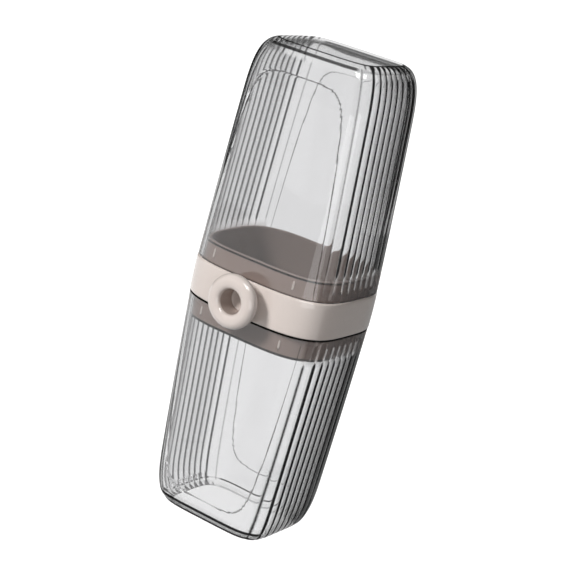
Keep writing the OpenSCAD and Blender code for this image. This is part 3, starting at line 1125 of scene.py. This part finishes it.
def clear_plastic(name, finishes, smoke, groove_from, groups):
    """Clear grey-tinted plastic that lets light through to what it covers."""
    material, tree, output = new_material(name)
    masks = {label: add(tree, "ShaderNodeAttribute", attribute_name=label).outputs["Fac"]
             for label in CUP_MASKS}
    # Painted shade, darker where the plastic turns away from the eye
    facing = add(tree, "ShaderNodeLayerWeight", {"Blend": 0.5}).outputs["Facing"]
    edge_on, face_on = EDGE_FACING
    toward = add(tree, "ShaderNodeMapRange", {
        "Value": facing, "From Min": edge_on, "From Max": face_on}).outputs["Result"]
    toward = maths(tree, "POWER", toward, EDGE_POWER)
    toward = maths(tree, "MAXIMUM", toward, masks["plate"], clamp=True)
    # Painted shade on the ribbed sides
    back = add(tree, "ShaderNodeNewGeometry").outputs["Backfacing"]
    ribbed = maths(tree, "MULTIPLY", masks["rib"], maths(tree, "SUBTRACT", 1.0, back))
    ribbed = maths(tree, "MULTIPLY", ribbed, RIB_SHADE, clamp=True)
    clean = blend(tree, ribbed, rgba(smoke), rgba(finishes.edge_and_rib_shade))
    shaded = blend(tree, toward, rgba(finishes.edge_and_rib_shade), clean)
    # Painted shade in the grooves and along the lines of the edges
    later = maths(tree, "MULTIPLY", back, BACK_GROOVE - groove_from)
    past = maths(tree, "SUBTRACT", masks["groove"], maths(tree, "ADD", groove_from, later))
    groove = maths(tree, "DIVIDE", past, GROOVE_EDGE, clamp=True)
    drawn = maths(tree, "MAXIMUM", groove, masks["line"])
    tint = blend(tree, drawn, shaded, rgba(finishes.groove_and_line_shade))
    marks = place_group(tree, groups["handling"], {"Amount": 0.5, "Scale": 70.0})
    marked = maths(tree, "MULTIPLY", marks.outputs["Mask"], CLEAR_MARKS)
    glass = add(tree, "ShaderNodeBsdfPrincipled", {
        "Base Color": tint, "Roughness": maths(tree, "ADD", 0.025, marked), "IOR": 1.49,
        "Specular IOR Level": 0.2, "Transmission Weight": 1.0})
    # The veil over the tongue and the one along the lines are painted shade
    veil = blend(tree, masks["rim"], rgba(CLEAR_VEIL), rgba(RIM_SHADE_VEIL))
    veil = blend(tree, drawn, veil, rgba(LINE_SHADE_VEIL))
    thin = add(tree, "ShaderNodeBsdfTransparent", {"Color": veil})
    veiled = maths(tree, "MULTIPLY", masks["plate"], PLATE_VEILED)
    for mask, share in ((masks["rim"], RIM_SHADE_VEILED), (drawn, LINE_VEILED)):
        veiled = maths(tree, "MAXIMUM", veiled, maths(tree, "MULTIPLY", mask, share))
    ended = add(tree, "ShaderNodeMixShader", {
        0: veiled, 1: glass.outputs["BSDF"], 2: thin.outputs["BSDF"]})
    through = add(tree, "ShaderNodeBsdfTransparent", {"Color": rgba(CLEAR_VEIL)})
    path = add(tree, "ShaderNodeLightPath")
    mixed = add(tree, "ShaderNodeMixShader", {
        0: path.outputs["Is Shadow Ray"], 1: ended.outputs["Shader"], 2: through.outputs["BSDF"]})
    body = add(tree, "ShaderNodeVolumeAbsorption", {
        "Color": rgba(BODY_TINT), "Density": finishes.density})
    tree.links.new(mixed.outputs["Shader"], output.inputs["Surface"])
    tree.links.new(body.outputs["Volume"], output.inputs["Volume"])
    return material


def shared_materials():
    """The finishes, made once."""
    finishes = bpy.context.scene.case_finishes
    if "case clear lower" in bpy.data.materials:
        return bpy.data.materials
    groups = {"moulded": moulded_group(), "handling": handling_group()}
    black = (0.0, 0.0, 0.0)
    beige_masks = [("bore", BORE_SHADE_TONE, finishes.bore_shade)]
    # Painted shade on the sleeve's inside and in the strip beside its free edges, and a painted
    # highlight that turns the pips beige
    taupe_masks = [
        ("inside", INSIDE_SHADE_TONE, black), ("strip", STRIP_SHADE_TONE, black), ("pip", 1.0, finishes.beige)]
    satin_plastic(
        "case beige", finishes.beige, finishes.beige_rough, groups, beige_masks, BEIGE_COAT)
    satin_plastic("case taupe", finishes.taupe, finishes.taupe_rough, groups, taupe_masks, 0)
    clear_plastic("case clear lower", finishes, finishes.lower_smoke, LOWER_GROOVE, groups)
    clear_plastic("case clear upper", finishes, finishes.upper_smoke, UPPER_GROOVE, groups)
    return bpy.data.materials


def dress(piece, material, body, node):
    """Gives a piece its finish, its body, the node that it stands for and its slot."""
    piece.data.materials.clear()
    piece.data.materials.append(shared_materials()[material])
    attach(piece, body)
    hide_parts(node)


# Operators

class CASE_OT_lower_cup(bpy.types.Operator):
    """Builds the clear lower cup, which stands on its flat end"""
    bl_idname = "case.lower_cup"
    bl_label = "Lower cup"

    def execute(self, context):
        cups = context.scene.case_cups
        front = ((0, cups.foot_line), (cups.shoulder_low, cups.shoulder_high))
        lines = CupLines(cups.low_rim_shade, cups.low_line, cups.low_hatch, front)
        bm = cup_mesh(cups, lower_height(), LOWER_HIGH.z - SLEEVE_LOW.z, lines)
        fade_front_panel(bm)
        bmesh.ops.translate(bm, vec=(0, 0, LOWER_LOW.z), verts=bm.verts)
        piece = finish_mesh(bm, "lower_cup_shell")
        dress(piece, "case clear lower", "lower_cup", "lower_cup")
        return {"FINISHED"}


class CASE_OT_upper_cup(bpy.types.Operator):
    """Builds the clear upper cup, which stands upside down on the collar"""
    bl_idname = "case.upper_cup"
    bl_label = "Upper cup"

    def execute(self, context):
        cups = context.scene.case_cups
        lines = CupLines(cups.top_rim_shade, cups.top_line, cups.top_hatch, ())
        bm = cup_mesh(cups, upper_height(), SLEEVE_HIGH.z - UPPER_LOW.z, lines)
        upside_down = Matrix.Translation((0, 0, UPPER_HIGH.z)) @ Matrix.Diagonal((1, 1, -1, 1))
        bmesh.ops.transform(bm, matrix=upside_down, verts=bm.verts)
        piece = finish_mesh(bm, "upper_cup_shell")
        dress(piece, "case clear upper", "upper_cup", "upper_cup")
        return {"FINISHED"}


class CASE_OT_sleeve(bpy.types.Operator):
    """Builds the inner sleeve with its two tongues and their friction pips"""
    bl_idname = "case.sleeve"
    bl_label = "Inner sleeve"

    def execute(self, context):
        cups, collar = context.scene.case_cups, context.scene.case_collar
        knob = context.scene.case_knob
        levels = sleeve_profile(cups, collar)
        piece = wall_loop(cups, levels, "sleeve", sleeve_masks(cups, collar, levels))
        cut(piece, pips(cups, collar), "UNION")
        mark_pip_highlights(piece, cups, collar)
        hole = cylinder_cutter(knob.stem / 2 + collar.turn_gap, BAND_LOW.y, KNOB_HIGH.y)
        cut(piece, hole)
        dress(piece, "case taupe", "collar", "inner_sleeve")
        return {"FINISHED"}


class CASE_OT_band(bpy.types.Operator):
    """Builds the outer band between the two rims"""
    bl_idname = "case.band"
    bl_label = "Band"

    def execute(self, context):
        cups, collar = context.scene.case_cups, context.scene.case_collar
        knob = context.scene.case_knob
        piece = wall_loop(cups, band_profile(cups, collar), "outer_band")
        hole = cylinder_cutter(
            knob.neck / 2 + collar.turn_gap, BAND_LOW.y - CUT_PAST, SLEEVE_LOW.y + CUT_PAST)
        cut(piece, hole)
        dress(piece, "case beige", "collar", "band")
        return {"FINISHED"}


class CASE_OT_knob(bpy.types.Operator):
    """Builds the ring knob and the retainer on its stem"""
    bl_idname = "case.knob"
    bl_label = "Ring knob"

    def execute(self, context):
        knob = context.scene.case_knob
        ring = turned(knob_profile(knob), "knob_ring")
        mark_bore(ring, knob)
        dress(ring, "case beige", "knob", "ring_knob")
        retainer = turned(retainer_profile(knob), "stem_retainer")
        dress(retainer, "case taupe", "knob", "knob_retainer")
        return {"FINISHED"}


class CASE_OT_stage(bpy.types.Operator):
    """Sets up the pale floor, the soft light and the camera"""
    bl_idname = "case.stage"
    bl_label = "Stage"

    def execute(self, context):
        studio = context.scene.case_studio
        make_floor(studio)
        make_world(context.scene, studio)
        make_lamps(studio)
        make_cards(studio)
        make_camera(context.scene, studio)
        context.scene.view_settings.view_transform = "Standard"
        return {"FINISHED"}


# Stage

# Half the side of the floor in metres, and the squares along it
FLOOR_HALF = 6.0
FLOOR_SQUARES = 8

# Where each sun stands from the case's middle, and the angle in degrees over which it is spread
SUNS = {"key": ((-0.40, -1.0, 0.72), 14), "front": ((0.70, -1.0, 0.25), 50)}

# The area lamps' sizes in metres, and their azimuth, elevation and distance from what they light
SOFTBOX_SIZE = (0.5, 0.35)
SOFTBOX_FROM = (math.radians(38), math.radians(60), 1.0)
PANEL_SIZE = (0.34, 0.18)
PANEL_FROM = (math.radians(44), 0, 0.5)
PANEL_HEIGHT = 0.09

# The cards' distances from the case, half sides and shades, in metres and shares of white
CARD_OUT = 0.8
CARD_HALF = 0.5
RIGHT_SHADE = 0.12
LEFT_SHADE = 0.04
LYING_OUT = 0.42
LYING_HALF = 0.32
LYING_UP = 2 * MM
UNSEEN_BY = ("camera", "diffuse", "transmission", "volume_scatter", "shadow")

# The camera's sensor in millimetres, and the range of what it shows in metres
SENSOR = 36
CLIP = (0.01, 50)


def background_rays(tree):
    """1 for rays from the camera, off gloss or through clear plastic, 0 for light on a surface."""
    path = add(tree, "ShaderNodeLightPath")
    seen = maths(tree, "MAXIMUM", path.outputs["Is Camera Ray"], path.outputs["Is Glossy Ray"])
    seen = maths(tree, "MAXIMUM", seen, path.outputs["Is Transmission Ray"])
    direct = maths(tree, "LESS_THAN", path.outputs["Diffuse Depth"], 0.5)
    return maths(tree, "MULTIPLY", seen, direct)


def make_floor(studio):
    """A wide pale floor that shows white and keeps the case's shadow."""
    bm = bmesh.new()
    bmesh.ops.create_grid(
        bm, x_segments=FLOOR_SQUARES, y_segments=FLOOR_SQUARES, size=FLOOR_HALF)
    floor = finish_mesh(bm, "floor")
    floor.location.z = CAD_LOW.z
    material, tree, output = new_material("pale floor")
    matt = add(tree, "ShaderNodeBsdfDiffuse", {"Color": grey(studio.floor_shade)})
    glow = add(tree, "ShaderNodeEmission", {"Color": grey(1), "Strength": studio.floor_glow})
    lit = add(tree, "ShaderNodeAddShader", {0: matt.outputs[0], 1: glow.outputs[0]})
    mixed = add(tree, "ShaderNodeMixShader", {
        0: background_rays(tree), 1: matt.outputs[0], 2: lit.outputs[0]})
    tree.links.new(mixed.outputs[0], output.inputs["Surface"])
    floor.data.materials.append(material)


def make_world(scene, studio):
    """White where it is seen, and a plain grey level where it lights."""
    world = bpy.data.worlds.new("studio")
    world.use_nodes = True
    tree = world.node_tree
    tree.nodes.clear()
    lighting = add(tree, "ShaderNodeBackground", {"Color": grey(1), "Strength": studio.fill})
    seen = add(tree, "ShaderNodeBackground", {"Color": grey(1), "Strength": 1.0})
    mixed = add(tree, "ShaderNodeMixShader", {
        0: background_rays(tree), 1: lighting.outputs[0], 2: seen.outputs[0]})
    output = add(tree, "ShaderNodeOutputWorld")
    tree.links.new(mixed.outputs[0], output.inputs["Surface"])
    scene.world = world


def aim(thing, place, target):
    """Puts a lamp at place, facing target."""
    thing.location = place
    thing.rotation_euler = (target - place).to_track_quat("-Z", "Y").to_euler()
    bpy.context.scene.collection.objects.link(thing)


def outward(azimuth, elevation):
    """A direction away from the case; azimuth 0 is in front, a quarter turn the +X side."""
    level = math.cos(elevation)
    return Vector((math.sin(azimuth) * level, -math.cos(azimuth) * level, math.sin(elevation)))


def around(target, azimuth, elevation, distance):
    """The place at a distance from the target in a direction away from the case."""
    return target + distance * outward(azimuth, elevation)


def make_sun(name, strength, target):
    """A soft sun that lights surfaces but that neither gloss nor clear plastic shows."""
    place, spread = SUNS[name]
    data = bpy.data.lights.new(name, "SUN")
    data.energy = strength
    data.angle = math.radians(spread)
    sun = bpy.data.objects.new(name, data)
    sun.visible_glossy = False
    sun.visible_transmission = False
    aim(sun, target + Vector(place), target)


def area_lamp(name, size, power, place, target):
    """A rectangular lamp that only glossy surfaces show."""
    data = bpy.data.lights.new(name, "AREA")
    data.shape = "RECTANGLE"
    data.size, data.size_y = size
    data.energy = power
    lamp = bpy.data.objects.new(name, data)
    lamp.visible_camera = False
    lamp.visible_diffuse = False
    lamp.visible_transmission = False
    aim(lamp, place, target)


def make_lamps(studio):
    """A soft key from the upper left, a wide light from the right, and two for highlights."""
    middle = (CAD_LOW + CAD_HIGH) / 2
    make_sun("key", studio.key, middle)
    make_sun("front", studio.front, middle)
    area_lamp("softbox", SOFTBOX_SIZE, studio.softbox, around(middle, *SOFTBOX_FROM), middle)
    low = Vector((0, 0, PANEL_HEIGHT))
    area_lamp("panel", PANEL_SIZE, studio.panel, around(low, *PANEL_FROM), low)


def make_card(place, toward, half, shade):
    """A square card that faces toward and that only reflections show."""
    material, tree, output = new_material("card")
    even = add(tree, "ShaderNodeEmission", {"Color": grey(shade)})
    tree.links.new(even.outputs[0], output.inputs["Surface"])
    bm = bmesh.new()
    bmesh.ops.create_grid(bm, x_segments=1, y_segments=1, size=half)
    card = finish_mesh(bm, "card")
    card.location = place
    card.rotation_euler = toward.to_track_quat("Z", "Y").to_euler()
    card.data.materials.append(material)
    for rays in UNSEEN_BY:
        setattr(card, "visible_" + rays, False)


def make_cards(studio):
    """Dark cards behind the case on both sides, and a grey one on the floor to its right."""
    middle = (CAD_LOW + CAD_HIGH) / 2
    for azimuth, shade in ((studio.right_card, RIGHT_SHADE), (studio.left_card, LEFT_SHADE)):
        place = around(middle, azimuth, 0, CARD_OUT)
        make_card(place, middle - place, CARD_HALF, shade)
    foot = Vector((0, 0, CAD_LOW.z + LYING_UP))
    lying = around(foot, studio.right_card, 0, LYING_OUT)
    make_card(lying, Vector((0, 0, 1)), LYING_HALF, studio.floor_card)


def make_camera(scene, studio):
    """The camera of the reference view, which leans the case to the right."""
    azimuth = studio.azimuth
    back = outward(azimuth, studio.elevation)
    right = Vector((math.cos(azimuth), math.sin(azimuth), 0))
    up = back.cross(right)
    c, s = math.cos(studio.roll), math.sin(studio.roll)
    camera = bpy.data.objects.new("camera", bpy.data.cameras.new("camera"))
    axes = Matrix((c * right + s * up, c * up - s * right, back)).transposed()
    target = Vector((0, 0, studio.target))
    camera.matrix_world = Matrix.Translation(target + back * studio.distance) @ axes.to_4x4()
    camera.data.sensor_width = SENSOR
    camera.data.lens = studio.lens
    camera.data.shift_x = studio.shift_x
    camera.data.shift_y = studio.shift_y
    camera.data.clip_start, camera.data.clip_end = CLIP
    scene.collection.objects.link(camera)
    scene.camera = camera


# Panel and registration

class CASE_PT_panel(bpy.types.Panel):
    """Sizes, finishes and the steps that build the case"""
    bl_idname = "CASE_PT_panel"
    bl_label = "Travel cup case"
    bl_space_type = "VIEW_3D"
    bl_region_type = "UI"
    bl_category = "Cup case"

    def draw(self, context):
        for operator in OPERATORS:
            self.layout.operator(operator.bl_idname)
        for name, group in GROUPS.items():
            box = self.layout.box()
            box.label(text=group.__doc__)
            for prop in group.__annotations__:
                box.prop(getattr(context.scene, name), prop)


OPERATORS = (
    CASE_OT_stage,
    CASE_OT_lower_cup,
    CASE_OT_upper_cup,
    CASE_OT_sleeve,
    CASE_OT_band,
    CASE_OT_knob,
)
CLASSES = (*GROUPS.values(), *OPERATORS, CASE_PT_panel)


def register():
    """Registers the classes and puts the sizes, finishes and studio on the scene."""
    for cls in CLASSES:
        bpy.utils.register_class(cls)
    for name, group in GROUPS.items():
        setattr(bpy.types.Scene, name, bpy.props.PointerProperty(type=group))


def unregister():
    """Takes away all that register added."""
    for name in GROUPS:
        delattr(bpy.types.Scene, name)
    for cls in reversed(CLASSES):
        bpy.utils.unregister_class(cls)


def main():
    register()
    bpy.ops.case.stage()
    bpy.ops.case.lower_cup()
    bpy.ops.case.upper_cup()
    bpy.ops.case.sleeve()
    bpy.ops.case.band()
    bpy.ops.case.knob()


if __name__ == "__main__":
    main()
